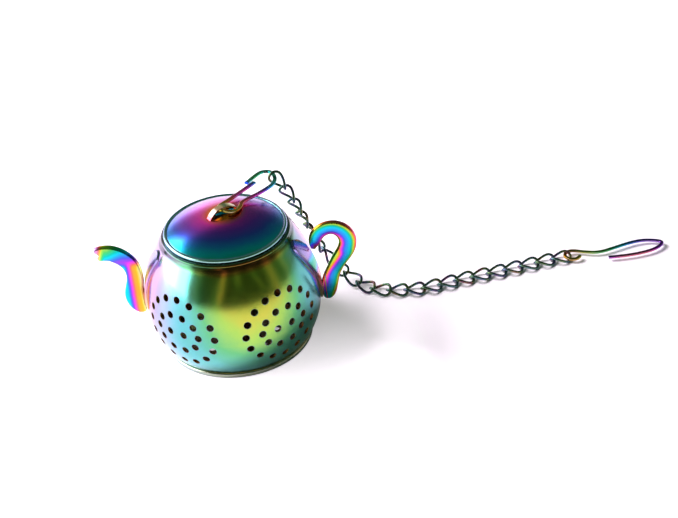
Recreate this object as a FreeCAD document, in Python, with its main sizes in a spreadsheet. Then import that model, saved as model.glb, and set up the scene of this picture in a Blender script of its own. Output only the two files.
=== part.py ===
"""Teapot-shaped tea infuser: perforated pot, plug-in lid, lid clip, curb chain and cup hook.

Millimetres, +Z up.  The origin is the centre of the pot's base, on the table.
+X points to the pot's handle, -X to its spout, and the chain lies behind and beside the pot.
"""
import FreeCAD, Part
import math
import os

import Sketcher
from FreeCAD import Placement, Rotation, Vector

# ---------------------------------------------------------------- driving dimensions
SIZES = {
    # pot
    "pot_radius": 21.0,  # widest point of the belly
    "belly_height": 11.5,  # height of the widest point
    "lower_curve": 17.2,  # radius of the side below the belly
    "upper_curve": 32.0,  # radius of the side above the belly
    "sheet": 0.5,  # pot, base, spout and handle sheet
    "neck_radius": 15.35,
    "neck_bottom": 29.3,
    "mouth_height": 30.35,  # top of the in-turned mouth flange
    "mouth_radius": 13.3,
    "seam_width": 1.8,  # in-turned flange at the pot's lower edge
    "hole_diameter": 1.8,
    "cluster_turn": 37.2,  # hole clusters stand this many degrees either side of +-Y
    "cluster_height": 13.44,
    "drill_reach": 3.0,  # each drill starts this far inside the side and ends as far outside
    # base
    "base_radius": 18.1,
    "rim_height": 1.3,  # rolled rim that the pot stands on
    "rim_width": 1.1,
    "rim_round": 0.4,
    "drain_circle": 9.0,
    "drain_count": 8.0,
    # lid
    "dome_radius": 26.5,
    "dome_top": 35.0,
    "lid_sheet": 0.4,
    "bead_circle": 14.15,  # radius of the rolled bead's centre line
    "bead_round": 0.5,
    "lid_play": 0.03,  # bead above the mouth flange
    "plug_play": 0.06,  # plug ring inside the mouth
    "plug_bottom": 26.6,
    "plug_flange": 11.8,  # inner radius of the flange soldered under the dome
    "flange_gap": 0.06,  # solder line between the dome and the flange's inner edge
    "corner_gap": 0.04,  # and at its outer corner
    "bridge_turn": 33.0,  # direction of the lanced bridge, degrees from +X
    "bridge_reach": 4.1,  # half of its length
    "bridge_width": 1.5,
    "bridge_sheet": 0.35,
    "bridge_crest": 36.95,
    "bridge_foot": 34.45,
    "window_reach": 3.28,  # half of the window's length
    "window_play": 0.5,  # window past the bridge's edge on either side
    # stamped spout and handle
    "arm_rise": 0.27,  # height of the arms' side walls, as a share of the band's width
    "arm_crown": 0.04,  # bulge of the front between its corners, same share
    "arm_corner": 0.17,  # corner radius, same share
    "arm_wall": 0.22,  # thickest sheet, same share; narrow ends are drawn thinner
    "foot_gap": 0.02,  # between an arm's foot and the pot
    "foot_bottom": 8.4,
    "foot_top": 28.8,
    "tip_notch_width": 2.0,  # fishtail notch in the spout's tip
    "tip_notch_depth": 0.9,
    "tab_width": 1.7,  # tab on the handle's foot
    "tab_sheet": 0.4,
    # lid clip
    "clip_turn": 57.4,  # direction in which the clip lies, degrees from +X
    "clip_slope": 8.1,  # it drops towards its tip by this angle
    "clip_height": 35.76,  # ribbon centre under the bridge
    "clip_width": 1.0,
    "clip_thick": 0.6,
    # chain
    "link_length": 5.9,
    "link_width": 4.3,
    "link_wire": 0.7,
    "link_twist": 84.0,  # one end of a link against the other, degrees
    "link_play": 0.16,
    # cup hook
    "hook_width": 0.9,
    "hook_thick": 0.6,
    "eye_radius": 1.9,  # centre line of the hook's eye
    "eye_play": 0.38,
}
LINKS = 22
SMALLEST_CUT = 0.05  # cubic millimetres

doc = FreeCAD.newDocument("tea_infuser")
sheet = doc.addObject("Spreadsheet::Sheet", "Sizes")
for row, (name, value) in enumerate(SIZES.items(), start=1):
    sheet.set(f"A{row}", name)
    sheet.set(f"B{row}", str(value))
    sheet.setAlias(f"B{row}", name)
doc.recompute()


class Size:
    """A length with both its value and the spreadsheet expression that gives it."""

    def __init__(self, value, text):
        self.value = float(value)
        self.text = text

    def __add__(self, other):
        other = as_size(other)
        return Size(self.value + other.value, f"({self.text} + {other.text})")

    def __sub__(self, other):
        other = as_size(other)
        return Size(self.value - other.value, f"({self.text} - {other.text})")

    def __mul__(self, other):
        other = as_size(other)
        return Size(self.value * other.value, f"({self.text} * {other.text})")

    def __truediv__(self, other):
        other = as_size(other)
        return Size(self.value / other.value, f"({self.text} / {other.text})")


def as_size(number):
    return number if isinstance(number, Size) else Size(number, repr(float(number)))


def root(size):
    return Size(math.sqrt(size.value), f"sqrt({size.text})")


def cell(name):
    return Size(sheet.get(name), f"Sizes.{name}")


def mm(name):
    return float(sheet.get(name))


def circle_x(radius, centre_x, rise):
    """x on a circle at this rise from the height of its centre."""
    return centre_x + root(radius * radius - rise * rise)


# ---------------------------------------------------------------- sketches and bodies
PLANE_SKETCH = {"XY": "XY_Plane", "XZ": "XZ_Plane", "YZ": "YZ_Plane"}


def new_sketch(body, name, plane):
    sketch = body.newObject("Sketcher::SketchObject", name)
    for feature in body.Origin.OriginFeatures:
        if feature.Role == PLANE_SKETCH[plane]:
            sketch.AttachmentSupport = [(feature, "")]
    sketch.MapMode = "FlatFace"
    return sketch


def pin(sketch, edge, end, x, y):
    """Fixes one end of an edge at x, y, on an axis where that is zero."""
    for size, kind, axis in ((x, "DistanceX", -2), (y, "DistanceY", -1)):
        if size.value == 0:
            sketch.addConstraint(Sketcher.Constraint("PointOnObject", edge, end, axis))
            continue
        index = sketch.addConstraint(Sketcher.Constraint(kind, edge, end, size.value))
        sketch.setExpression(f"Constraints[{index}]", size.text)


def arc_edge(start, end, radius, turn):
    """The arc of this radius from start to end that turns left (1) or right (-1)."""
    chord = end - start
    rise = math.sqrt(radius**2 - (chord.Length / 2) ** 2)
    side = Vector(-chord.y, chord.x, 0).normalize()
    centre = (start + end) * 0.5 + side * rise * turn
    first, last = (start, end) if turn > 0 else (end, start)
    angles = [math.atan2(p.y - centre.y, p.x - centre.x) for p in (first, last)]
    return Part.ArcOfCircle(Part.Circle(centre, Vector(0, 0, 1), radius), *angles)


def draw_outline(sketch, corners):
    """Closes an outline through corners (x, y) or (x, y, radius, turn): the latter starts an arc."""
    ends = []
    for here, there in zip(corners, corners[1:] + corners[:1]):
        start = Vector(here[0].value, here[1].value, 0)
        end = Vector(there[0].value, there[1].value, 0)
        if len(here) == 2:
            edge = sketch.addGeometry(Part.LineSegment(start, end))
            ends.append((edge, 1, 2))
        else:
            radius, turn = here[2:]
            edge = sketch.addGeometry(arc_edge(start, end, radius.value, turn))
            ends.append((edge, 1, 2) if turn > 0 else (edge, 2, 1))
    for number, (edge, first, last) in enumerate(ends):
        following = ends[(number + 1) % len(ends)]
        sketch.addConstraint(Sketcher.Constraint("Coincident", edge, last, following[0], following[1]))
        pin(sketch, edge, first, corners[number][0], corners[number][1])
    for (edge, first, last), corner in zip(ends, corners):
        if len(corner) > 2:
            index = sketch.addConstraint(Sketcher.Constraint("Radius", edge, corner[2].value))
            sketch.setExpression(f"Constraints[{index}]", corner[2].text)


def revolve(body, sketch, name):
    feature = body.newObject("PartDesign::Revolution", name)
    feature.Profile = (sketch, [""])
    feature.ReferenceAxis = (sketch, ["V_Axis"])
    feature.Angle = 360
    sketch.Visibility = False
    return feature


def cut_through(body, sketch, name):
    """Cuts a sketch through the whole body, both ways."""
    feature = body.newObject("PartDesign::Pocket", name)
    feature.Profile = (sketch, [""])
    feature.Type = "ThroughAll"
    feature.Midplane = True
    sketch.Visibility = False
    return feature


# ---------------------------------------------------------------- pot
ZERO = as_size(0)
POT_R = cell("pot_radius")
BELLY = cell("belly_height")
SHEET = cell("sheet")
UPWARDS = Vector(0, 0, 1)


def pot_side(offset, height, lower):
    """Radius of the pot's side at a height, this far outside (or, negative, inside) its outer face."""
    curve = cell("lower_curve") if lower else cell("upper_curve")
    return circle_x(curve + offset, POT_R - curve, height - BELLY)


def make_pot_shell():
    body = doc.addObject("PartDesign::Body", "pot_shell")
    sketch = new_sketch(body, "pot_outline", "XZ")
    rim = cell("rim_height")
    neck = cell("neck_radius")
    neck_z = cell("neck_bottom")
    top = cell("mouth_height")
    mouth = cell("mouth_radius")
    lower = cell("lower_curve")
    upper = cell("upper_curve")
    seam_bottom = rim + 0.02
    seam_top = seam_bottom + SHEET
    seam_x = pot_side(ZERO, seam_bottom, True)
    draw_outline(
        sketch,
        [
            (seam_x - cell("seam_width"), seam_bottom),
            (seam_x, seam_bottom, lower, 1),
            (POT_R, BELLY, upper, 1),
            (pot_side(ZERO, neck_z, False), neck_z),
            (neck, top - SHEET, SHEET, 1),
            (neck - SHEET, top),
            (mouth, top),
            (mouth, top - SHEET),
            (neck - SHEET, top - SHEET),
            (pot_side(ZERO - SHEET, neck_z, False), neck_z, upper - SHEET, -1),
            (POT_R - SHEET, BELLY, lower - SHEET, -1),
            (pot_side(ZERO - SHEET, seam_top, True), seam_top),
            (seam_x - cell("seam_width"), seam_top),
        ],
    )
    revolve(body, sketch, "pot_turning")
    return body


def hole_places():
    """Azimuth offset and height offset of each hole in one cluster: two rings and a middle pair."""
    places = []
    for count, half_turn, half_height in ((16, 27.15, 8.42), (10, 16.26, 4.56), (2, 5.48, 0.0)):
        for number in range(count):
            angle = 2 * math.pi * number / count
            places.append((half_turn * math.cos(angle), half_height * math.sin(angle)))
    return places


def make_drills():
    """One drill for each hole, square to the pot's side."""
    drills = []
    belly = mm("belly_height")
    reach = mm("drill_reach")
    for cluster in range(4):
        middle = (90 if cluster % 2 else -90) + mm("cluster_turn") * (1 if cluster < 2 else -1)
        for turn, rise in hole_places():
            height = mm("cluster_height") + rise
            curve = mm("lower_curve") if height < belly else mm("upper_curve")
            tilt = math.degrees(math.asin((height - belly) / curve))
            start = curve - reach
            offset = mm("pot_radius") - curve + start * math.cos(math.radians(tilt))
            spin = Rotation(Vector(0, 0, 1), middle + turn)
            drill = doc.addObject("Part::Cylinder", f"drill_{len(drills) + 1}")
            drill.setExpression("Radius", "Sizes.hole_diameter / 2")
            drill.setExpression("Height", "Sizes.drill_reach * 2")
            base = spin.multVec(Vector(offset, 0, belly + start * math.sin(math.radians(tilt))))
            drill.Placement = Placement(base, spin.multiply(Rotation(Vector(0, 1, 0), 90 - tilt)))
            drills.append(drill)
    return drills


def make_pot_body():
    shell = make_pot_shell()
    drills = doc.addObject("Part::Compound", "hole_drills")
    drills.Links = make_drills()
    pot = doc.addObject("Part::Cut", "pot_body")
    pot.Base = shell
    pot.Tool = drills
    return pot


def make_base_plate():
    body = doc.addObject("PartDesign::Body", "base_plate")
    sketch = new_sketch(body, "base_outline", "XZ")
    outer = cell("base_radius")
    round_ = cell("rim_round")
    height = cell("rim_height")
    inner = outer - cell("rim_width")
    draw_outline(
        sketch,
        [
            (ZERO, ZERO),
            (outer - round_, ZERO, round_, 1),
            (outer, round_),
            (outer, height - round_, round_, 1),
            (outer - round_, height),
            (inner, height),
            (inner, SHEET),
            (ZERO, SHEET),
        ],
    )
    revolve(body, sketch, "base_turning")
    holes = new_sketch(body, "drain_hole", "XY")
    radius = mm("hole_diameter") / 2
    circle = holes.addGeometry(Part.Circle(Vector(mm("drain_circle"), 0, 0), UPWARDS, radius))
    pin(holes, circle, 3, cell("drain_circle"), ZERO)
    index = holes.addConstraint(Sketcher.Constraint("Radius", circle, radius))
    holes.setExpression(f"Constraints[{index}]", "Sizes.hole_diameter / 2")
    drain = cut_through(body, holes, "drain")
    ring = body.newObject("PartDesign::PolarPattern", "drain_ring")
    ring.Originals = [drain]
    ring.Axis = (holes, ["N_Axis"])
    ring.Angle = 360
    ring.Occurrences = int(mm("drain_count"))
    body.Tip = ring
    return body


# ---------------------------------------------------------------- lid
def dome_z(offset, radius):
    """Height of the dome at a radius, this far outside its outer face."""
    curve = cell("dome_radius")
    return cell("dome_top") - curve + root((curve + offset) * (curve + offset) - radius * radius)


def make_lid_cover():
    body = doc.addObject("PartDesign::Body", "lid_cover")
    body.setExpression("Placement.Rotation.Angle", "Sizes.bridge_turn")
    body.Placement = Placement(Vector(), Rotation(Vector(0, 0, 1), mm("bridge_turn")))
    sketch = new_sketch(body, "lid_outline", "XZ")
    curve = cell("dome_radius")
    thick = cell("lid_sheet")
    bead = cell("bead_circle")
    round_ = cell("bead_round")
    bead_z = cell("mouth_height") + cell("lid_play") + round_
    upper_joint = bead - round_ * 0.8
    lower_joint = bead - round_
    draw_outline(
        sketch,
        [
            (ZERO, cell("dome_top") - thick, curve - thick, -1),
            (lower_joint, dome_z(ZERO - thick, lower_joint), round_, 1),
            (bead, bead_z - round_, round_, 1),
            (bead + round_, bead_z, round_, 1),
            (bead, bead_z + round_, round_, 1),
            (upper_joint, dome_z(ZERO, upper_joint), curve, 1),
            (ZERO, cell("dome_top")),
        ],
    )
    revolve(body, sketch, "lid_turning")
    window = new_sketch(body, "window_outline", "XY")
    reach = cell("window_reach")
    half = cell("bridge_width") / 2 + cell("window_play")
    draw_outline(
        window,
        [
            (ZERO - reach, ZERO - half),
            (reach, ZERO - half),
            (reach, half),
            (ZERO - reach, half),
        ],
    )
    cut_through(body, window, "window")
    arch = new_sketch(body, "bridge_outline", "XZ")
    reach = cell("bridge_reach")
    foot = cell("bridge_foot")
    rise = cell("bridge_crest") - foot
    bend = (reach * reach + rise * rise) / (rise * 2)
    inside = bend - cell("bridge_sheet")
    inner_reach = root(inside * inside - (bend - rise) * (bend - rise))
    draw_outline(
        arch,
        [
            (reach, foot, bend, 1),
            (ZERO - reach, foot),
            (ZERO - inner_reach, foot, inside, -1),
            (inner_reach, foot),
        ],
    )
    bridge = body.newObject("PartDesign::Pad", "bridge")
    bridge.Profile = (arch, [""])
    bridge.setExpression("Length", "Sizes.bridge_width")
    bridge.Midplane = True
    arch.Visibility = False
    return body


def make_lid_plug_ring():
    body = doc.addObject("PartDesign::Body", "lid_plug_ring")
    sketch = new_sketch(body, "plug_outline", "XZ")
    outer = cell("mouth_radius") - cell("plug_play")
    thick = cell("lid_sheet")
    inner = outer - thick
    bottom = cell("plug_bottom")
    flange = cell("plug_flange")
    flange_top = dome_z(ZERO - thick, flange) - cell("flange_gap")
    corner_top = dome_z(ZERO - thick, outer) - cell("corner_gap")
    draw_outline(
        sketch,
        [
            (inner, bottom),
            (outer, bottom),
            (outer, corner_top),
            (flange, flange_top),
            (flange, flange_top - thick),
            (inner, corner_top - thick * 0.7),
        ],
    )
    revolve(body, sketch, "plug_turning")
    return body


# ---------------------------------------------------------------- spout and handle
def smooth_curve(points):
    curve = Part.BSplineCurve()
    curve.interpolate(points)
    return curve


def band_section(centre, across, width):
    """Closed section of a pressed band in the plane of `across` and Y: a nearly flat front towards -Y,
    rounded corners and short side walls."""
    half = width / 2
    rise = mm("arm_rise") * width
    crown = rise + mm("arm_crown") * width
    corner = mm("arm_corner") * width
    wall = min(mm("sheet"), mm("arm_wall") * width)
    cut = corner * (1 - math.sqrt(0.5))

    def at(side, outward):
        return centre + across * side + Vector(0, -outward, 0)

    edges = [
        Part.LineSegment(at(-half, 0), at(-half, rise - corner)),
        Part.Arc(at(-half, rise - corner), at(cut - half, rise - cut), at(corner - half, rise)),
        Part.Arc(at(corner - half, rise), at(0, crown), at(half - corner, rise)),
        Part.Arc(at(half - corner, rise), at(half - cut, rise - cut), at(half, rise - corner)),
        Part.LineSegment(at(half, rise - corner), at(half, 0)),
        Part.LineSegment(at(half, 0), at(half - wall, 0)),
        Part.LineSegment(at(half - wall, 0), at(half - wall, rise - wall)),
        Part.Arc(at(half - wall, rise - wall), at(0, crown - wall), at(wall - half, rise - wall)),
        Part.LineSegment(at(wall - half, rise - wall), at(wall - half, 0)),
        Part.LineSegment(at(wall - half, 0), at(-half, 0)),
    ]
    return Part.Wire([edge.toShape() for edge in edges])


def make_arm(name, stations, sections=24):
    """A pressed band along stations (x, z, width), as one loft."""
    curve = smooth_curve([Vector(x, width, z) for x, z, width in stations])
    wires = []
    for number in range(sections):
        at = curve.FirstParameter + (curve.LastParameter - curve.FirstParameter) * number / (sections - 1)
        here = curve.value(at)
        along = curve.tangent(at)[0]
        along = Vector(along.x, 0, along.z).normalize()
        across = Vector(along.z, 0, -along.x)
        wires.append(band_section(Vector(here.x, 0, here.z), across, here.y))
    arm = doc.addObject("Part::Feature", name)
    arm.Shape = Part.makeLoft(wires, True, False)
    return arm


def make_foot(name, side):
    """The leaf-shaped foot that hugs the pot's side, on the handle (1) or spout (-1) side."""
    wrap = doc.addObject("PartDesign::Body", f"{name}_wrap")
    sketch = new_sketch(wrap, f"{name}_wrap_outline", "XZ")
    gap = cell("foot_gap")
    outside = gap + SHEET
    lower = cell("lower_curve")
    upper = cell("upper_curve")
    low = cell("foot_bottom")
    high = cell("foot_top")
    draw_outline(
        sketch,
        [
            (pot_side(gap, low, True), low),
            (pot_side(outside, low, True), low, lower + outside, 1),
            (POT_R + outside, BELLY, upper + outside, 1),
            (pot_side(outside, high, False), high),
            (pot_side(gap, high, False), high, upper + gap, -1),
            (POT_R + gap, BELLY, lower + gap, -1),
        ],
    )
    revolve(wrap, sketch, f"{name}_wrap_turning")
    front = smooth_curve(
        [
            Vector(0, 0.3, 8.6),
            Vector(0, -0.7, 9.6),
            Vector(0, -2.3, 13.4),
            Vector(0, -3.4, 18.2),
            Vector(0, -4.8, 22.0),
            Vector(0, -5.8, 25.0),
            Vector(0, -6.1, 27.2),
            Vector(0, -4.9, 28.5),
            Vector(0, -3.4, 28.3),
            Vector(0, -2.0, 26.8),
            Vector(0, -0.6, 24.2),
            Vector(0, 0.5, 20.5),
            Vector(0, 0.9, 15.0),
            Vector(0, 0.8, 10.0),
        ]
        + [Vector(0, 0.3, 8.6)]
    )
    leaf = doc.addObject("Part::Feature", f"{name}_leaf")
    outline = Part.Face(Part.Wire([front.toShape()]))
    leaf.Shape = outline.extrude(Vector(1.5 * mm("pot_radius") * side, 0, 0))
    foot = doc.addObject("Part::Common", f"{name}_foot")
    foot.Base = wrap
    foot.Tool = leaf
    return foot


def make_spout():
    arm = make_arm(
        "spout_arm",
        [
            (-31.2, 26.1, 3.5),
            (-29.7, 26.35, 4.0),
            (-28.0, 26.25, 4.15),
            (-26.4, 25.55, 4.25),
            (-24.6, 24.0, 4.15),
            (-23.5, 22.2, 4.1),
            (-23.05, 20.1, 4.0),
            (-23.1, 18.2, 4.1),
            (-23.55, 16.1, 4.4),
            (-23.75, 14.0, 4.9),
            (-23.55, 12.1, 4.6),
            (-23.1, 10.5, 3.7),
            (-22.6, 9.3, 2.5),
            (-22.3, 8.6, 1.2),
        ],
    )
    foot = make_foot("spout", -1)
    whole = doc.addObject("Part::MultiFuse", "spout_blank")
    whole.Shapes = [arm, foot]
    spout_tip = Vector(-31.35, 0, 26.1)
    width = mm("tip_notch_width")
    through = mm("pot_radius") / 3
    notch = doc.addObject("Part::Wedge", "tip_notch")
    notch.Xmin, notch.Xmax = -width / 2, width / 2
    notch.X2min, notch.X2max = 0, 0
    notch.Ymin, notch.Ymax = 0, mm("tip_notch_depth")
    notch.Zmin, notch.Zmax = -through, through
    notch.Z2min, notch.Z2max = -through, through
    notch.Placement = Placement(spout_tip, Rotation(UPWARDS, Vector(1, 0, 0), Vector(0, 1, 0), "XYZ"))
    spout = doc.addObject("Part::Cut", "spout")
    spout.Base = whole
    spout.Tool = notch
    return spout


def make_handle():
    arm = make_arm(
        "handle_arm",
        [
            (20.1, 23.15, 1.1),
            (20.3, 24.2, 2.1),
            (20.55, 25.3, 2.8),
            (21.15, 26.8, 3.25),
            (22.6, 28.3, 3.4),
            (25.2, 28.85, 3.6),
            (27.4, 27.6, 4.0),
            (28.4, 25.2, 4.25),
            (27.9, 22.7, 4.2),
            (26.1, 19.8, 3.9),
            (24.65, 17.1, 3.65),
            (23.55, 14.2, 4.0),
            (23.15, 12.0, 3.8),
            (22.85, 10.3, 3.2),
            (22.5, 9.2, 2.2),
            (22.3, 8.6, 1.1),
        ],
    )
    foot = make_foot("handle", 1)
    root_point = Vector(15.62, -5.28, 28.32)
    tip_point = Vector(18.6, -1.95, 24.7)
    reach = tip_point - root_point
    tab = doc.addObject("Part::Feature", "handle_tab")
    half = mm("tab_width") / 2
    outline = Part.Wire(
        [
            Part.LineSegment(Vector(0, -half, 0), Vector(reach.Length - half, -half, 0)).toShape(),
            Part.Arc(
                Vector(reach.Length - half, -half, 0),
                Vector(reach.Length, 0, 0),
                Vector(reach.Length - half, half, 0),
            ).toShape(),
            Part.LineSegment(Vector(reach.Length - half, half, 0), Vector(0, half, 0)).toShape(),
            Part.LineSegment(Vector(0, half, 0), Vector(0, -half, 0)).toShape(),
        ]
    )
    tab.Shape = Part.Face(outline).extrude(Vector(0, 0, mm("tab_sheet")))
    outwards = Vector(0.75, -0.35, 0.56)  # square to the pot's shoulder there
    tab.Placement = Placement(root_point, Rotation(reach, Vector(), outwards, "XZY"))
    handle = doc.addObject("Part::MultiFuse", "handle")
    handle.Shapes = [arm, foot, tab]
    return handle


# ---------------------------------------------------------------- lid clip
CLIP_TURN = math.radians(mm("clip_turn"))
CLIP_SLOPE = math.radians(mm("clip_slope"))
CLIP_ORIGIN = Vector(0, 0, mm("clip_height"))
CLIP_AHEAD = Vector(
    math.cos(CLIP_TURN) * math.cos(CLIP_SLOPE),
    math.sin(CLIP_TURN) * math.cos(CLIP_SLOPE),
    -math.sin(CLIP_SLOPE),
)
CLIP_LEFT = Vector(-math.sin(CLIP_TURN), math.cos(CLIP_TURN), 0)
CLIP_UP = CLIP_AHEAD.cross(CLIP_LEFT)
CLIP_FRAME = Placement(CLIP_ORIGIN, Rotation(CLIP_AHEAD, CLIP_LEFT, CLIP_UP, "XYZ"))
CLIP_THREAD = Vector(22.3, 0.6, 0)  # about where the chain hangs on the clip
CLIP_PATH = [
    Vector(16.6, 2.5, 0),  # free end of the straight leg that springs
    Vector(12.0, 2.2, 0),
    Vector(7.5, 2.0, 0),
    Vector(4.6, 1.9, 0),
    Vector(2.8, 1.9, 0),
    Vector(1.5, 1.8, 0),
    Vector(0.5, 1.35, 0),
    Vector(-0.1, 0.3, 0),
    Vector(-0.15, -1.1, 0),
    Vector(0.4, -2.45, 0),
    Vector(1.4, -2.85, 0),
    Vector(2.7, -2.75, 0),
    Vector(4.1, -2.3, 0),
    Vector(5.4, -1.65, 0),
    Vector(7.0, -1.5, 0),
    Vector(11.0, -1.9, 0),
    Vector(15.5, -2.1, 0),
    Vector(18.6, -1.75, 0),
    Vector(21.2, -0.45, 0),
    Vector(23.1, 1.4, 0),
    Vector(23.8, 3.1, 0),
    Vector(22.8, 4.3, 0),
    Vector(20.7, 4.5, 0),
    Vector(18.2, 4.25, 0),
    Vector(15.2, 3.9, 0),
]


def ribbon(spine, width, thick, corner=0.15):
    """Sweeps a rounded rectangle along a flat spine in the XY plane."""
    start = spine.Edges[0]
    at = start.FirstParameter if start.Orientation == "Forward" else start.LastParameter
    here = start.valueAt(at)
    along = start.tangentAt(at)
    across = Vector(-along.y, along.x, 0).normalize()
    face = Part.makePlane(width - 2 * corner, thick - 2 * corner)
    outline = face.OuterWire.makeOffset2D(corner)
    outline.translate(Vector(-(width / 2 - corner), -(thick / 2 - corner), 0))
    outline.Placement = Placement(here, Rotation(across, Vector(0, 0, 1), along, "XYZ")).multiply(
        outline.Placement
    )
    pipe = Part.BRepOffsetAPI.MakePipeShell(spine)
    pipe.setBiNormalMode(Vector(0, 0, 1))
    pipe.add(outline)
    pipe.build()
    pipe.makeSolid()
    return pipe.shape()


def make_lid_clip():
    spine = Part.Wire([smooth_curve(CLIP_PATH).toShape()])
    clip = doc.addObject("Part::Feature", "lid_clip")
    clip.Shape = ribbon(spine, mm("clip_width"), mm("clip_thick"))
    clip.Placement = CLIP_FRAME
    return clip


# ---------------------------------------------------------------- chain
WIRE = mm("link_wire")
HALF_SPAN = (mm("link_length") - WIRE) / 2  # link centre to the middle of its end wire
HALF_WIDTH = (mm("link_width") - WIRE) / 2
TWIST = math.radians(mm("link_twist"))
CONTACT = (WIRE + mm("link_play")) / 2  # junction to the middle of either end wire
PITCH = 2 * (HALF_SPAN - CONTACT)
ROLLED_LINKS = 8  # links that share the turn between the table and the clip
LIE_HEIGHT = 1.08  # centre of a link that lies on the table


def link_centre_line():
    """A twisted oval: straight sides, round ends, each end turned half the twist about X."""
    points = []
    count = 24
    flat = HALF_SPAN - HALF_WIDTH
    for number in range(count):
        angle = 2 * math.pi * number / count
        x = HALF_WIDTH * math.cos(angle)
        y = HALF_WIDTH * math.sin(angle)
        x += flat * math.tanh(4 * math.cos(angle)) / math.tanh(4)
        turn = TWIST * x / (2 * HALF_SPAN)
        points.append(Vector(x, y * math.cos(turn), y * math.sin(turn)))
    curve = Part.BSplineCurve()
    curve.interpolate(points, True)
    return curve


def link_shape(sections=24):
    """Round wire along the link's centre line, as one closed loft."""
    curve = link_centre_line()
    span = curve.LastParameter - curve.FirstParameter
    rings = []
    for number in range(sections):
        at = curve.FirstParameter + span * number / sections
        here = curve.value(at)
        along = curve.tangent(at)[0]
        turn = TWIST * here.x / (2 * HALF_SPAN)
        side = Vector(0, -math.sin(turn), math.cos(turn)).cross(along)
        circle = Part.Circle(here, along, WIRE / 2)
        circle.XAxis = along.cross(side)
        rings.append(Part.Wire([circle.toShape()]))
    return Part.makeLoft(rings, True, False, True)


def thread():
    """The point on the clip's ribbon where the chain hangs, and the ribbon's direction there."""
    curve = smooth_curve(CLIP_PATH)
    at = curve.parameter(CLIP_THREAD)
    return CLIP_FRAME.multVec(curve.value(at)), CLIP_FRAME.Rotation.multVec(curve.tangent(at)[0])


def chain_path():
    """Where the chain lies: down behind the pot from the clip, then out along the table."""
    hung = thread()[0]
    landing = Vector(24.0, 19.6, 5.6)
    points = [hung, hung + (landing - hung) * 0.5, landing, Vector(28.3, 17.1, 2.0)]
    points.append(Vector(30.8, 14.9, LIE_HEIGHT + 0.15))
    floor = [
        (33.3, 12.9),
        (38.4, 11.5),
        (45.7, 11.4),
        (54.3, 13.7),
        (62.8, 15.7),
        (75.0, 18.8),
        (92.0, 22.2),
    ]
    points += [Vector(x, y, LIE_HEIGHT) for x, y in floor]
    return smooth_curve(points)


def walk(curve, start, chord):
    """The parameter further along the curve whose point is this far from the one at start."""
    low = start
    high = start
    origin = curve.value(start)
    stride = (curve.LastParameter - curve.FirstParameter) / 400
    while (curve.value(high) - origin).Length < chord:
        high += stride
    for _ in range(40):
        middle = (low + high) / 2
        if (curve.value(middle) - origin).Length < chord:
            low = middle
        else:
            high = middle
    return high


def junctions():
    """The clip's thread point, then the point where each link meets the next, then the hook."""
    curve = chain_path()
    at = curve.FirstParameter
    found = [curve.value(at)]
    first = 2 * HALF_SPAN - CONTACT - (mm("clip_width") + WIRE + mm("link_play")) / 2
    for number in range(LINKS):
        at = walk(curve, at, PITCH if number else first)
        found.append(curve.value(at))
    return found


def end_wire(frame, side):
    """Direction of a link's end wire, at its leading (1) or trailing (-1) end."""
    turn = side * TWIST / 2
    return frame.Rotation.multVec(Vector(0, math.cos(turn), math.sin(turn)))


def link_frames():
    """Each link's placement: X along the chain, Z its flat side.

    The links lie flat on the table.  Up the hanging part they turn as little as possible,
    and then a little each, so that the first one hangs square on the clip.
    """
    points = junctions()
    along = [(b - a).normalize() for a, b in zip(points, points[1:])]
    up = Vector(0, 0, 1)
    frames = []
    for number in reversed(range(LINKS)):
        here = along[number]
        if number + 1 < LINKS:
            up = Rotation(along[number + 1], here).multVec(up)
        left = up.cross(here).normalize()
        up = here.cross(left)
        centre = points[number + 1] + here * (CONTACT - HALF_SPAN)
        frames.append(Placement(centre, Rotation(here, left, up, "XYZ")))
    frames.reverse()
    wire = end_wire(frames[0], -1)
    square = along[0].cross(thread()[1]).normalize()
    roll = math.atan2(along[0].dot(wire.cross(square)), wire.dot(square))
    roll = (roll + math.pi / 2) % math.pi - math.pi / 2
    for number in range(ROLLED_LINKS):
        share = math.degrees(roll) * (1 - number / ROLLED_LINKS)
        frames[number] = frames[number].multiply(Placement(Vector(), Rotation(Vector(1, 0, 0), share)))
    return frames


def make_chain():
    shape = link_shape()
    links = []
    for number, frame in enumerate(link_frames(), start=1):
        link = doc.addObject("Part::Feature", f"chain_link_{number:02d}")
        link.Shape = shape
        link.Placement = frame
        links.append(link)
    return links


# ---------------------------------------------------------------- cup hook
def hook_frame():
    """Hook placement: X along the last link's heading, level, with its origin at the last junction."""
    points = junctions()
    heading = points[-1] - points[-2]
    heading = Vector(heading.x, heading.y, 0).normalize()
    return Placement(points[-1], Rotation(heading, Vector(), Vector(0, 0, 1), "XZY"))


def make_end_hook():
    radius = mm("eye_radius")
    eye = Vector(radius - mm("hook_width") / 2 - mm("eye_play"), 0, 0)
    points = []
    for degrees in range(-30, -300, -30):  # round the eye, leaving it open beside the neck
        angle = math.radians(degrees)
        points.append(eye + Vector(math.cos(angle), math.sin(angle), 0) * radius)
    points += [
        Vector(3.4, 0.95, 0),
        Vector(5.3, -0.1, 0),
        Vector(7.4, -0.85, 0),
        Vector(10.9, -0.7, 0),
        Vector(15.0, 0.05, 0),
        Vector(18.9, 0.4, 0),
        Vector(22.6, -0.5, 0),
        Vector(24.5, -2.1, 0),
        Vector(22.6, -3.9, 0),
        Vector(19.4, -4.75, 0),
        Vector(15.3, -4.85, 0),
        Vector(9.3, -4.05, 0),
    ]
    spine = Part.Wire([smooth_curve(points).toShape()])
    hook = doc.addObject("Part::Feature", "end_hook")
    hook.Shape = ribbon(spine, mm("hook_width"), mm("hook_thick"), 0.2)
    hook.Placement = hook_frame()
    return hook


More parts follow.
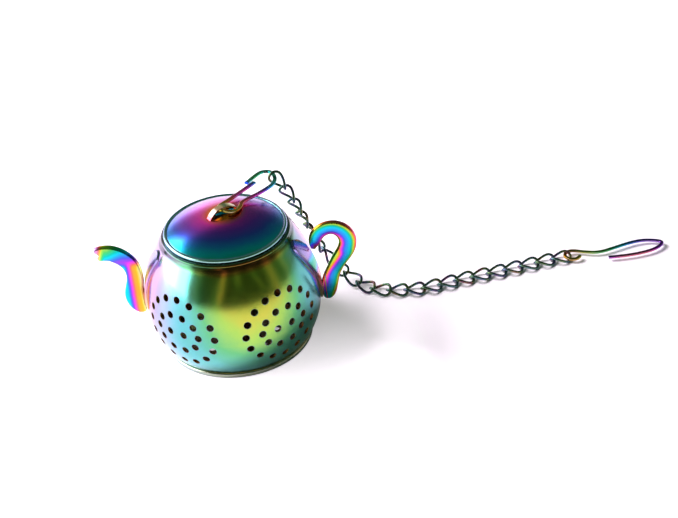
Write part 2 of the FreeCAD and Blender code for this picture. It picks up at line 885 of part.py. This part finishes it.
# ---------------------------------------------------------------- build, check, write
def check(objects):
    for thing in doc.Objects:
        bad = [state for state in thing.State if state in ("Invalid", "Error")]
        if bad:
            raise RuntimeError(f"{thing.Name}: {bad} {thing.getStatusString()}")
    for thing in objects:
        shape = thing.Shape
        if shape.isNull() or not shape.isValid() or len(shape.Solids) != 1:
            raise RuntimeError(f"{thing.Label}: null {shape.isNull()}, solids {len(shape.Solids)}")


def check_cuts():
    """Every pocket and cut has to take something away."""
    for thing in doc.Objects:
        if thing.TypeId == "PartDesign::Pocket":
            before = thing.BaseFeature.Shape
        elif thing.TypeId == "Part::Cut":
            before = thing.Base.Shape
        else:
            continue
        if before.Volume - thing.Shape.Volume < SMALLEST_CUT:
            raise RuntimeError(f"{thing.Name} cuts nothing")


def main():
    nodes = [
        make_pot_body(),
        make_base_plate(),
        make_spout(),
        make_handle(),
        make_lid_cover(),
        make_lid_plug_ring(),
        make_lid_clip(),
        *make_chain(),
        make_end_hook(),
    ]
    doc.recompute()
    for thing in nodes:
        thing.Label = thing.Name
    check(nodes)
    check_cuts()
    os.makedirs("parts", exist_ok=True)
    for thing in nodes:
        thing.Shape.exportStep(os.path.join("parts", f"{thing.Label}.step"))
        print(f"{thing.Label}: {thing.Shape.Volume:.2f} mm3")


main()
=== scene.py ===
"""Looks of the teapot-shaped tea infuser: rainbow-coated steel on a white floor.

The coating is a clear oxide film, whose colour depends on the light's path through it. Each material works
out that path, counted in turns of the colour wheel, from the angle of view and the place on the piece.
"""

import math

import bpy
from mathutils import Matrix, Vector


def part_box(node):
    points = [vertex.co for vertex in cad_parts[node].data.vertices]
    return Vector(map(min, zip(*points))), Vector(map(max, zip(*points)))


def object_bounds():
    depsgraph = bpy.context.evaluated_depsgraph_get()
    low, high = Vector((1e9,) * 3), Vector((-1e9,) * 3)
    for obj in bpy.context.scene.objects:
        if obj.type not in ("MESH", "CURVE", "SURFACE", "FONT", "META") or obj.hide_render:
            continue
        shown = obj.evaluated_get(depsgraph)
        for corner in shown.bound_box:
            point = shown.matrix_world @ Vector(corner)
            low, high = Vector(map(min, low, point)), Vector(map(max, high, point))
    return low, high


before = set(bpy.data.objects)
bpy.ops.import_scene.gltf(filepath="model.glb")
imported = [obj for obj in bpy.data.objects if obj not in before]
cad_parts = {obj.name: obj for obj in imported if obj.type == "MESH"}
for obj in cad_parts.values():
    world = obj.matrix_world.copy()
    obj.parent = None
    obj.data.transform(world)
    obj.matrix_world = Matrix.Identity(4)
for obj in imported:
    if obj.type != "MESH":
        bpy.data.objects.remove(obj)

CAD_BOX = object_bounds()
MM = 0.001
WHITE = (1.0, 1.0, 1.0, 1.0)

# The film's colours in the order they come as the light's path changes: (turn, red, green, blue), as seen.
FILM_COLOURS = (
    (0.00, 0.97, 0.42, 0.38),
    (0.06, 0.97, 0.60, 0.26),
    (0.12, 0.87, 0.70, 0.18),
    (0.17, 0.86, 0.86, 0.26),
    (0.23, 0.68, 0.90, 0.30),
    (0.35, 0.28, 0.80, 0.42),
    (0.45, 0.08, 0.78, 0.66),
    (0.52, 0.10, 0.82, 0.90),
    (0.59, 0.20, 0.60, 0.95),
    (0.66, 0.30, 0.38, 0.90),
    (0.75, 0.58, 0.28, 0.88),
    (0.86, 0.92, 0.26, 0.84),
    (0.95, 0.97, 0.40, 0.60),
)

# Some of those colours by name, in turns. A whole turn more or less is the same colour.
ORANGE = 0.07
BROWN = 0.10  # a gold that looks brown on a dark piece
GOLD = 0.12
YELLOW = 0.18
GREEN = 0.40
CYAN = 0.50
AZURE = 0.57
BLUE = 0.68
VIOLET = 0.76
MAGENTA = 0.88
PINK = 0.94


def linear(*colour):
    """Scene-linear red, green, blue, alpha of a colour given as seen on screen."""
    return tuple(c / 12.92 if c <= 0.04045 else ((c + 0.055) / 1.055) ** 2.4 for c in colour) + (1.0,)


# ---------------------------------------------------------------- node helpers
class Nodes:
    """Builds one node tree. Each input may be a number or another node's socket."""

    def __init__(self, tree):
        self.tree = tree
        tree.nodes.clear()

    def add(self, kind, inputs=(), **settings):
        node = self.tree.nodes.new(kind)
        for name, value in settings.items():
            setattr(node, name, value)
        for key, value in dict(inputs).items():
            self.feed(node.inputs[key], value)
        return node

    def feed(self, socket, value):
        if isinstance(value, bpy.types.NodeSocket):
            self.tree.links.new(value, socket)
        else:
            socket.default_value = value

    def math(self, operation, *values):
        return self.add("ShaderNodeMath", dict(enumerate(values)), operation=operation).outputs[0]

    def chained(self, operation, first, *others):
        result = first
        for value in others:
            result = self.math(operation, result, value)
        return result

    def total(self, *values):
        return self.chained("ADD", *values)

    def times(self, *values):
        return self.chained("MULTIPLY", *values)

    def largest(self, *values):
        return self.chained("MAXIMUM", *values)

    def minus(self, one, other):
        return self.math("SUBTRACT", one, other)

    def line(self, value, slope, start):
        """slope * value + start."""
        return self.math("MULTIPLY_ADD", value, slope, start)

    def spread(self, noise, width):
        """Turns a noise of 0 to 1 into one that reaches half the width up and down."""
        return self.line(noise, width, -width / 2)

    def ramp(self, value, low, high, start=0.0, end=1.0):
        """Smoothly from start to end as value goes from low to high."""
        limits = {"From Min": low, "From Max": high, "To Min": start, "To Max": end}
        node = self.add("ShaderNodeMapRange", {"Value": value, **limits}, interpolation_type="SMOOTHSTEP")
        return node.outputs["Result"]

    def blend(self, share, first, second):
        """The first number where share is 0, the second where it is 1."""
        return self.line(share, self.minus(second, first), first)

    def mix(self, share, first, second):
        """The first colour where share is 0, the second where it is 1."""
        node = self.add("ShaderNodeMix", data_type="RGBA")
        self.feed(node.inputs["Factor"], share)
        self.feed(node.inputs[6], first)
        self.feed(node.inputs[7], second)
        return node.outputs[2]

    def vector(self, operation, one, other=(0.0, 0.0, 0.0)):
        node = self.add("ShaderNodeVectorMath", {0: one, 1: other}, operation=operation)
        return node.outputs["Vector"]

    def dot(self, one, other):
        node = self.add("ShaderNodeVectorMath", {0: one, 1: other}, operation="DOT_PRODUCT")
        return node.outputs["Value"]

    def distance(self, across, up):
        """Length of the line that goes so far across and so far up."""
        flat = self.add("ShaderNodeCombineXYZ", {0: across, 1: up}).outputs[0]
        return self.add("ShaderNodeVectorMath", {0: flat}, operation="LENGTH").outputs["Value"]

    def noise(self, place, scale, detail=2.0, stretch=None):
        if stretch:
            place = self.add("ShaderNodeMapping", {"Vector": place, "Scale": stretch}).outputs[0]
        node = self.add("ShaderNodeTexNoise", {"Vector": place, "Scale": scale, "Detail": detail})
        return node.outputs["Fac"]

    def bump(self, height, strength, depth):
        inputs = {"Strength": strength, "Distance": depth, "Height": height}
        return self.add("ShaderNodeBump", inputs).outputs[0]

    def seen_by_camera(self):
        """1 for what the camera sees itself, 0 for what is only mirrored or lights something."""
        return self.add("ShaderNodeLightPath").outputs["Is Camera Ray"]

    def film_colour(self, turns):
        """Colour of the film for a path given in turns; whole turns repeat."""
        node = self.add("ShaderNodeValToRGB", {"Fac": self.math("FRACT", turns)})
        stops = node.color_ramp.elements
        while len(stops) > 1:
            stops.remove(stops[0])
        stops[0].position = 1.0
        stops[0].color = linear(*FILM_COLOURS[0][1:])
        for turn, *colour in FILM_COLOURS:
            stops.new(turn).color = linear(*colour)
        return node.outputs["Color"]


class Surface(Nodes):
    """The node tree of a new material. It knows the place on the object at rest, in metres."""

    def __init__(self, name):
        self.material = bpy.data.materials.new(name)
        self.material.use_nodes = True
        super().__init__(self.material.node_tree)
        self.place = self.add("ShaderNodeTexCoord").outputs["Object"]
        self.x, self.y, self.z = self.add("ShaderNodeSeparateXYZ", {0: self.place}).outputs
        geometry = self.add("ShaderNodeNewGeometry").outputs
        self.normal = geometry["Normal"]
        self.to_viewer = geometry["Incoming"]

    def close(self, inputs):
        """Ends the tree with a surface of these properties."""
        shader = self.add("ShaderNodeBsdfPrincipled", inputs)
        self.add("ShaderNodeOutputMaterial", {"Surface": shader.outputs[0]})
        return self.material

    def law(self, value):
        """A number as it is, or what a function makes of this surface."""
        return value(self) if callable(value) else value

    def facing(self):
        """1 where the surface looks straight at the viewer, 0 at its outline."""
        return self.math("ABSOLUTE", self.dot(self.normal, self.to_viewer))

    def facing_aside(self, share):
        """The same for a viewer who stands further towards +X by this share of the distance."""
        aside = self.vector("ADD", self.to_viewer, (share, 0.0, 0.0))
        return self.dot(self.normal, self.vector("NORMALIZE", aside))

    def view_turns(self, straight, span):
        """The path's change with the angle of view: none straight on, span turns at the outline."""
        return self.line(self.minus(1.0, self.facing()), span, straight)

    def sharp_edge_share(self, width):
        """About 1 within this distance of a sharp edge, 0 elsewhere."""
        rounded = self.add("ShaderNodeBevel", {"Radius": width}, samples=4).outputs[0]
        return self.ramp(self.dot(rounded, self.normal), 0.80, 0.98, 1.0, 0.0)

    def axis_distance(self):
        """Distance from the pot's upright axis."""
        return self.distance(self.x, self.y)


# ---------------------------------------------------------------- coated steel
BARE_STEEL = linear(0.86, 0.84, 0.86)
PATCH_SCALE = 260.0  # soft clouds a few millimetres wide
SPECKLE_SCALE = 9000.0  # satin grain
TURNING_STRETCH = (300.0, 300.0, 14000.0)  # fine level lines all round, left by spinning


def coated_steel(name, film, roughness, shade=1.0, pale=0.0, edge=None, lines=False):
    """Steel under the rainbow film. Four values are numbers or functions of the surface: film is the light's
    path in turns, roughness speaks for itself, shade darkens and pale is the share of bare steel. edge gives
    the width of the painted dark outline on sharp edges and the light left there; lines adds turning marks."""
    n = Surface(name)
    patch = n.noise(n.place, PATCH_SCALE, 3.0)
    speckle = n.noise(n.place, SPECKLE_SCALE)
    turns = n.total(n.law(film), n.spread(patch, 0.06), n.spread(speckle, 0.05))
    darker = n.law(shade)
    # painted shade: a dark outline along sharp edges
    if edge:
        width, left = edge
        darker = n.times(darker, n.ramp(n.sharp_edge_share(width), 0.0, 1.0, 1.0, left))
    colour = n.mix(n.law(pale), n.film_colour(turns), BARE_STEEL)
    scaled = n.add("ShaderNodeVectorMath", {0: colour, "Scale": darker}, operation="SCALE").outputs[0]
    rough = n.total(n.law(roughness), n.spread(speckle, 0.10), n.spread(patch, 0.08))
    height = speckle
    if lines:
        height = n.line(n.noise(n.place, 1.0, stretch=TURNING_STRETCH), 0.8, speckle)
    relief = n.bump(height, 0.25, 0.01 * MM)
    return n.close({"Base Color": scaled, "Metallic": 1.0, "Roughness": rough, "Normal": relief})


def painted_wire_highlight(n):
    """A painted highlight: a line of light along the middle of a wire."""
    return n.ramp(n.facing(), 0.72, 0.99, 0.0, 0.5)


# ---------------------------------------------------------------- pot and base
POT_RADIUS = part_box("pot_body")[1].x
POT_MIDDLE = (0.0, 0.0, 14 * MM)  # a point inside, about half way up
NECK = 29 * MM  # about where the side turns up towards the mouth
HOLE_RIM = 0.2 * MM  # width of the rim that drilling leaves round each hole, which gets a painted highlight
OUTSIDE_SHADE = 0.74  # light that the film leaves on the pot's outside
INSIDE_SHADE = 0.45  # painted shade: the inside is darker


def inside_pot(n):
    """1 on surfaces that face the pot's middle, else 0."""
    outward = n.dot(n.vector("SUBTRACT", n.place, POT_MIDDLE), n.normal)
    return n.ramp(outward, -3 * MM, 3 * MM, 1.0, 0.0)


def by_side(n, outside, inside):
    """One number for the pot's outside, another for its inside."""
    return n.ramp(inside_pot(n), 0.3, 0.7, outside, inside)


def pot_slant(n):
    """How far the pot's side turns away from the viewer, 0 to 1. The film is uneven round the pot, as if it
    were seen from a little further right, and the colours follow each other faster higher up."""
    away = n.minus(1.0, n.facing_aside(0.17))
    return n.times(away, n.line(n.z, 0.035 / MM, 0.51))


def pot_film(n):
    """Yellow where the side is seen straight on, then lime, green and blue, and violet at the outline."""
    slant = pot_slant(n)
    to_green = n.ramp(slant, 0.07, 0.40, 0.0, 0.30)
    to_blue = n.ramp(slant, 0.40, 0.70, 0.0, 0.08)
    to_violet = n.ramp(slant, 0.70, 1.00, 0.0, 0.32)
    at_neck = n.ramp(n.z, NECK - 1.5 * MM, NECK, 0.0, -0.12)
    # painted highlight: the film turns further on the hole rims
    rim_highlight = n.times(n.sharp_edge_share(HOLE_RIM), 0.25)
    outside = n.total(YELLOW, to_green, to_blue, to_violet, at_neck, rim_highlight)
    return n.blend(inside_pot(n), outside, ORANGE)


def pot_shade(n):
    """Painted shade: darker under the lid's bead, and inside the pot."""
    # painted shadow in the gap under the lid's bead
    bead_gap_shadow = n.ramp(n.z, NECK - 0.6 * MM, NECK + 0.2 * MM, 1.0, 0.35)
    return n.times(bead_gap_shadow, by_side(n, OUTSIDE_SHADE, INSIDE_SHADE))


def pot_rough(n):
    """The inside is left dull."""
    return by_side(n, 0.17, 0.6)


def pot_pale(n):
    """More of the steel's own colour comes back at a glancing view; the hole rims are paler, a painted
    highlight.
    """
    slant = pot_slant(n)
    side = n.total(n.ramp(slant, 0.0, 0.4, 0.03, 0.22), n.ramp(slant, 0.45, 0.75, 0.0, 0.45))
    return n.largest(n.times(n.sharp_edge_share(HOLE_RIM), 0.5), side)


# ---------------------------------------------------------------- lid
LID_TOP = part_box("lid_cover")[1].z  # crest of the bridge
LID_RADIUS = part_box("lid_cover")[1].x


def lid_film(n):
    """A gold halo round the bridge, magenta, then blue and teal towards the bead."""
    out = n.axis_distance()
    halo = n.ramp(out, 2.5 * MM, 6 * MM, 0.12, 0.0)
    return n.total(n.view_turns(PINK, 0.25), n.times(out, -0.036 / MM), halo)


def lid_pale(n):
    """The rolled bead and the bridge's crest are paler, a painted highlight; the far side of the dome is
    paler too.
    """
    # painted highlights on the bead and the bridge's crest
    bead = n.ramp(n.axis_distance(), LID_RADIUS - 1.15 * MM, LID_RADIUS - 0.75 * MM, 0.0, 0.45)
    crest = n.ramp(n.z, LID_TOP - 1.75 * MM, LID_TOP - 1.15 * MM, 0.0, 0.6)
    far = n.ramp(n.facing(), 0.05, 0.45, 0.6, 0.0)
    return n.largest(bead, crest, far)


# ---------------------------------------------------------------- spout and handle
ARM_EDGE = (0.14 * MM, 0.25)  # width of the painted dark outline along an arm's edges and the light left there


def foot_share(n):
    """1 on the leaf-shaped foot that hugs the pot, 0 on the free band."""
    slimmer = n.ramp(n.z, 14 * MM, 25 * MM, 0.0, 2.4 * MM)
    out = n.total(n.axis_distance(), slimmer)
    return n.ramp(out, POT_RADIUS + 0.5 * MM, POT_RADIUS + 0.8 * MM, 1.0, 0.0)


def with_foot(n, band):
    """The band's colours, and from gold at the foot's lower end to blue at its upper end."""
    foot = n.ramp(n.z, 9 * MM, 28 * MM, 1.0 + GOLD, BLUE)
    return n.blend(foot_share(n), band, foot)


SPOUT_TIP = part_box("spout")[0].x
SPOUT_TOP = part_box("spout")[1].z
SPOUT_STEM = SPOUT_TIP + 8.4 * MM  # middle of the upright part


def spout_film(n):
    """Lilac at the tip, then gold and cyan. Further down cyan runs along the outer edge and gold inside."""
    mouth_end = SPOUT_TIP + 2.6 * MM
    mouth = n.ramp(n.x, SPOUT_TIP, mouth_end, -0.08, 0.44)
    along = n.ramp(n.x, mouth_end, SPOUT_TIP + 6.5 * MM, 0.0, 0.12)
    sunk = n.times(n.minus(n.z, SPOUT_TOP - 2.4 * MM), -0.10 / MM)
    upper = n.total(mouth, along, sunk)
    inward = n.minus(n.x, SPOUT_STEM)
    to_gold = n.ramp(inward, -2.3 * MM, 0.4 * MM, 0.0, 0.58)
    to_yellow = n.ramp(inward, 0.0, 2 * MM, 0.0, 0.10)
    lower = n.total(CYAN, to_gold, to_yellow)
    raised = n.ramp(n.z, 22.0 * MM, 24.5 * MM)
    return with_foot(n, n.blend(raised, lower, upper))


def spout_pale(n):
    """The tip and the inner edge are paler."""
    tip = n.ramp(n.x, SPOUT_TIP, SPOUT_TIP + 1.8 * MM, 0.55, 0.0)
    inner = n.ramp(n.minus(n.x, SPOUT_STEM), 0.9 * MM, 2.0 * MM, 0.0, 0.5)
    return n.largest(tip, inner)


LOOP_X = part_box("handle")[1].x - 6.0 * MM  # middle of the handle's round loop
LOOP_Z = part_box("handle")[1].z - 5.7 * MM
LOOP_RADIUS = 3.9 * MM  # out to the middle of the band
STEM_X = 22.4 * MM  # middle of the band at the stem's lower end


def handle_film(n):
    """Across the band: gold at the outer edge, cyan and blue in the middle, magenta to gold inside."""
    loose_end = n.ramp(n.x, 22.0 * MM, 22.6 * MM, 1.0, 0.0)
    in_loop = n.minus(n.distance(n.minus(n.x, LOOP_X), n.minus(n.z, LOOP_Z)), LOOP_RADIUS)
    low_lean = n.ramp(n.z, 9 * MM, 15 * MM, 0.0, 1.5 * MM)
    high_lean = n.ramp(n.z, 14 * MM, 24 * MM, 0.0, 4.6 * MM)
    in_stem = n.minus(n.x, n.total(STEM_X, low_lean, high_lean))
    loop_share = n.largest(n.ramp(n.z, 21.5 * MM, 24 * MM), loose_end)
    outward = n.blend(loop_share, in_stem, in_loop)
    outer = n.ramp(outward, 0.5 * MM, 2.1 * MM, 0.0, -0.42)
    inner = n.ramp(outward, -2.2 * MM, -0.4 * MM, 0.42, 0.0)
    curl = n.times(loose_end, n.ramp(n.z, 23.2 * MM, 25.8 * MM, 0.5, 0.0))
    return with_foot(n, n.total(AZURE, n.times(outward, -0.10 / MM), outer, inner, curl))


def handle_pale(n):
    """Only the foot is paler."""
    return n.times(foot_share(n), 0.45)


# ---------------------------------------------------------------- clip, chain and hook
WIRE_EDGE = (0.12 * MM, 0.3)  # width of the painted dark outline along a wire's edges and the light left there
WANDER_SCALE = 150.0  # colours drift along the clip and the hook


def clip_film(n):
    """Brown by the bridge, mauve halfway and green at the far end."""
    out = n.axis_distance()
    near = n.ramp(out, 3 * MM, 9 * MM, 1.16, MAGENTA)
    far = n.ramp(out, 11 * MM, 20 * MM, 0.0, -0.46)
    return n.total(near, far, n.spread(n.noise(n.place, WANDER_SCALE, 1.0), 0.5))


def hook_film(n):
    """Brown at the eye, teal along the shank, violet at the end and magenta on the returning leg."""
    low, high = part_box("end_hook")
    along = n.ramp(n.x, low.x, high.x, BROWN, VIOLET)
    returning = n.ramp(n.y, low.y, (low.y + high.y) / 2, 0.42, 0.0)
    past_shank = n.ramp(n.x, low.x + 6 * MM, low.x + 9 * MM)
    wander = n.spread(n.noise(n.place, WANDER_SCALE, 1.0), 0.2)
    return n.total(along, n.times(returning, past_shank), wander)


def chain_film(n):
    """Gunmetal green, in places any other colour."""
    return n.total(n.view_turns(GREEN, 0.2), n.spread(n.noise(n.place, 300.0, 1.0), 2.0))


def chain_pale(n):
    """Nearly half bare everywhere, with the painted line of light along each wire."""
    return n.largest(painted_wire_highlight(n), 0.45)


# ---------------------------------------------------------------- which piece gets which steel
def paint(names, material_name, **look):
    """Puts one new coated steel on whole CAD nodes."""
    material = coated_steel(material_name, **look)
    for name in names:
        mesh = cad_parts[name].data
        mesh.materials.clear()
        mesh.materials.append(material)


def paint_all():
    """One steel for each kind of piece."""
    links = [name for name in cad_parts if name.startswith("chain_link")]
    pot = {"film": pot_film, "shade": pot_shade, "lines": True}
    paint(["pot_body"], "pot_steel", roughness=pot_rough, pale=pot_pale, **pot)
    paint(["base_plate"], "base_steel", roughness=0.2, pale=0.75, **pot)
    lid = {"film": lid_film, "pale": lid_pale, "lines": True}
    paint(["lid_cover", "lid_plug_ring"], "lid_steel", roughness=0.22, shade=0.9, **lid)
    arm = {"roughness": 0.24, "edge": ARM_EDGE}
    paint(["spout"], "spout_steel", film=spout_film, shade=0.9, pale=spout_pale, **arm)
    paint(["handle"], "handle_steel", film=handle_film, shade=0.85, pale=handle_pale, **arm)
    wire = {"pale": painted_wire_highlight, "edge": WIRE_EDGE}
    paint(["lid_clip"], "clip_steel", film=clip_film, roughness=0.18, shade=0.65, **wire)
    paint(["end_hook"], "hook_steel", film=hook_film, roughness=0.2, shade=0.6, **wire)
    paint(links, "chain_steel", film=chain_film, roughness=0.22, shade=0.30, pale=chain_pale)


# ---------------------------------------------------------------- surroundings
ROOM = 0.13  # brightness of the dark room
BACKDROP = 1.2  # what the camera sees past the floor

# Soft-edged areas that are brighter or darker than the room. Angles are in degrees, azimuth 0 in front and
# +90 at the right. The middle and the half size are (azimuth, elevation). slant leans an area sideways.
PANELS = {
    "bright wall on the left": {"middle": (-97, 3), "half": (37, 38), "brightness": 5.5},
    "low light behind, left": {"middle": (-152, -15), "half": (20, 20), "brightness": 1.6, "soft": 8.0},
    "high light behind, left": {"middle": (-150, 28), "half": (22, 22), "brightness": 0.42, "soft": 8.0},
    "light low behind": {"middle": (180, -20), "half": (40, 30), "brightness": 0.9, "soft": 12.0},
    "gap at the right": {"middle": (104, 0), "half": (17, 30), "brightness": 0.3},
    "dark front": {"middle": (8, 22), "half": (48, 22), "brightness": -0.07},
    "streak in front": {"middle": (-12, 14), "half": (3, 20), "brightness": 0.42, "slant": 0.4, "soft": 3.0},
    "thin streak": {"middle": (-20, 12), "half": (2, 12), "brightness": 0.12, "slant": 0.4, "soft": 2.0},
    "short streak": {"middle": (14, 26), "half": (4, 8), "brightness": 0.14, "soft": 4.0},
    "leaning streak": {"middle": (40, 24), "half": (2, 16), "brightness": 0.16, "slant": -0.5, "soft": 3.0},
    "streak on the right": {"middle": (66, 10), "half": (5, 16), "brightness": 0.2, "soft": 4.0},
    "edge of the front": {"middle": (-52, 0), "half": (8, 30), "brightness": 0.3},
}


def panel(n, azimuth, elevation, middle, half, brightness, slant=0.0, soft=5.0):
    """Brightness that one area adds in this direction. Its edges fade over soft degrees to either side."""
    rise = n.minus(elevation, middle[1])
    turn = n.line(rise, -slant, n.minus(azimuth, middle[0]))
    turn = n.math("ABSOLUTE", n.math("WRAP", turn, 180.0, -180.0))
    across = n.ramp(turn, half[0] - soft, half[0] + soft, 1.0, 0.0)
    up = n.ramp(n.math("ABSOLUTE", rise), half[1] - soft, half[1] + soft, 1.0, 0.0)
    return n.times(across, up, brightness)


def make_world():
    """What the steel mirrors: a bright wall on the left, a dark room above and in front with a few lit gaps.
    The dimmest light is greenish and the dim light warm. The camera itself sees plain white."""
    world = bpy.data.worlds.new("studio")
    bpy.context.scene.world = world
    world.use_nodes = True
    n = Nodes(world.node_tree)
    direction = n.add("ShaderNodeTexCoord").outputs["Generated"]
    x, y, z = n.add("ShaderNodeSeparateXYZ", {0: direction}).outputs
    azimuth = n.times(n.math("ARCTAN2", x, n.times(y, -1.0)), math.degrees(1))
    elevation = n.times(n.math("ARCSINE", z), math.degrees(1))
    light = n.total(ROOM, *(panel(n, azimuth, elevation, **area) for area in PANELS.values()))
    dim = n.mix(n.ramp(light, 0.1, 0.4), (0.5, 1.0, 0.7, 1.0), (1.0, 0.85, 0.6, 1.0))
    tint = n.mix(n.ramp(light, 0.5, 1.2), dim, WHITE)
    seen = n.seen_by_camera()
    colour = n.mix(seen, tint, WHITE)
    background = n.add("ShaderNodeBackground", {"Color": colour, "Strength": n.blend(seen, light, BACKDROP)})
    n.add("ShaderNodeOutputWorld", {"Surface": background.outputs[0]})


def floor_material():
    """White. Where the camera sees it, a painted glow brings it towards white, strongest in front and gone
    past the handle, so that the shadow by the pot stays soft. A touch of pink goes against the greenish
    light of the room."""
    n = Surface("white_sweep")
    relief = n.bump(n.noise(n.place, 900.0, 3.0), 0.05, 0.05 * MM)
    # painted light: a glow that only the camera sees
    nearer = n.ramp(n.y, -24 * MM, 15 * MM, 0.85, 0.22)
    past_handle = n.ramp(n.x, 36 * MM, 50 * MM, 1.0, 0.0)
    camera_glow = n.times(nearer, past_handle)
    return n.close(
        {
            "Base Color": linear(0.95, 0.90, 0.95),
            "Roughness": 0.85,
            "Normal": relief,
            "Emission Color": (1.0, 0.93, 1.0, 1.0),
            "Emission Strength": n.times(n.seen_by_camera(), camera_glow),
        }
    )


def make_floor():
    """A level square at the height of the object's lowest point."""
    reach = 3.0
    level = CAD_BOX[0].z
    mesh = bpy.data.meshes.new("floor")
    corners = [(x * reach, y * reach, level) for x, y in ((-1, -1), (1, -1), (1, 1), (-1, 1))]
    mesh.from_pydata(corners, [], [(0, 1, 2, 3)])
    mesh.materials.append(floor_material())
    floor = bpy.data.objects.new("floor", mesh)
    bpy.context.scene.collection.objects.link(floor)


def towards(azimuth, elevation):
    """Unit vector away from the object. Angles are in degrees, azimuth 0 in front and +90 at the right."""
    turn = math.radians(azimuth)
    rise = math.radians(elevation)
    return Vector((math.sin(turn) * math.cos(rise), -math.cos(turn) * math.cos(rise), math.sin(rise)))


def make_window_light():
    """A square soft box high on the left. The steel doesn't mirror it."""
    away = towards(-105, 48)
    distance = 0.9
    light = bpy.data.lights.new("window_light", "AREA")
    light.size = 0.45
    light.energy = 14.0
    lamp = bpy.data.objects.new("window_light", light)
    lamp.location = away * distance
    lamp.visible_glossy = False
    lamp.rotation_euler = away.to_track_quat("Z", "Y").to_euler()
    bpy.context.scene.collection.objects.link(lamp)


# ---------------------------------------------------------------- camera
VIEW_AZIMUTH = 1.64  # degrees, as are the next two
VIEW_ELEVATION = 34.13
VIEW_ROLL = 5.2
VIEW_DISTANCE = 392.7 * MM
VIEW_AIM = Vector((25.15, 28.79, 0.0)) * MM
SENSOR_WIDTH = 36.0
FOCAL_LENGTH = 79.65


def make_camera():
    """Looks down at the aim point from in front, rolled a little."""
    data = bpy.data.cameras.new("camera")
    data.sensor_width = SENSOR_WIDTH
    data.lens = FOCAL_LENGTH
    camera = bpy.data.objects.new("camera", data)
    away = towards(VIEW_AZIMUTH, VIEW_ELEVATION)
    level = away.to_track_quat("Z", "Y").to_matrix().to_4x4()
    roll = Matrix.Rotation(math.radians(-VIEW_ROLL), 4, "Z")
    camera.matrix_world = Matrix.Translation(VIEW_AIM + away * VIEW_DISTANCE) @ level @ roll
    bpy.context.scene.collection.objects.link(camera)
    bpy.context.scene.camera = camera


paint_all()
make_world()
make_floor()
make_window_light()
make_camera()
bpy.context.scene.view_settings.view_transform = "Standard"
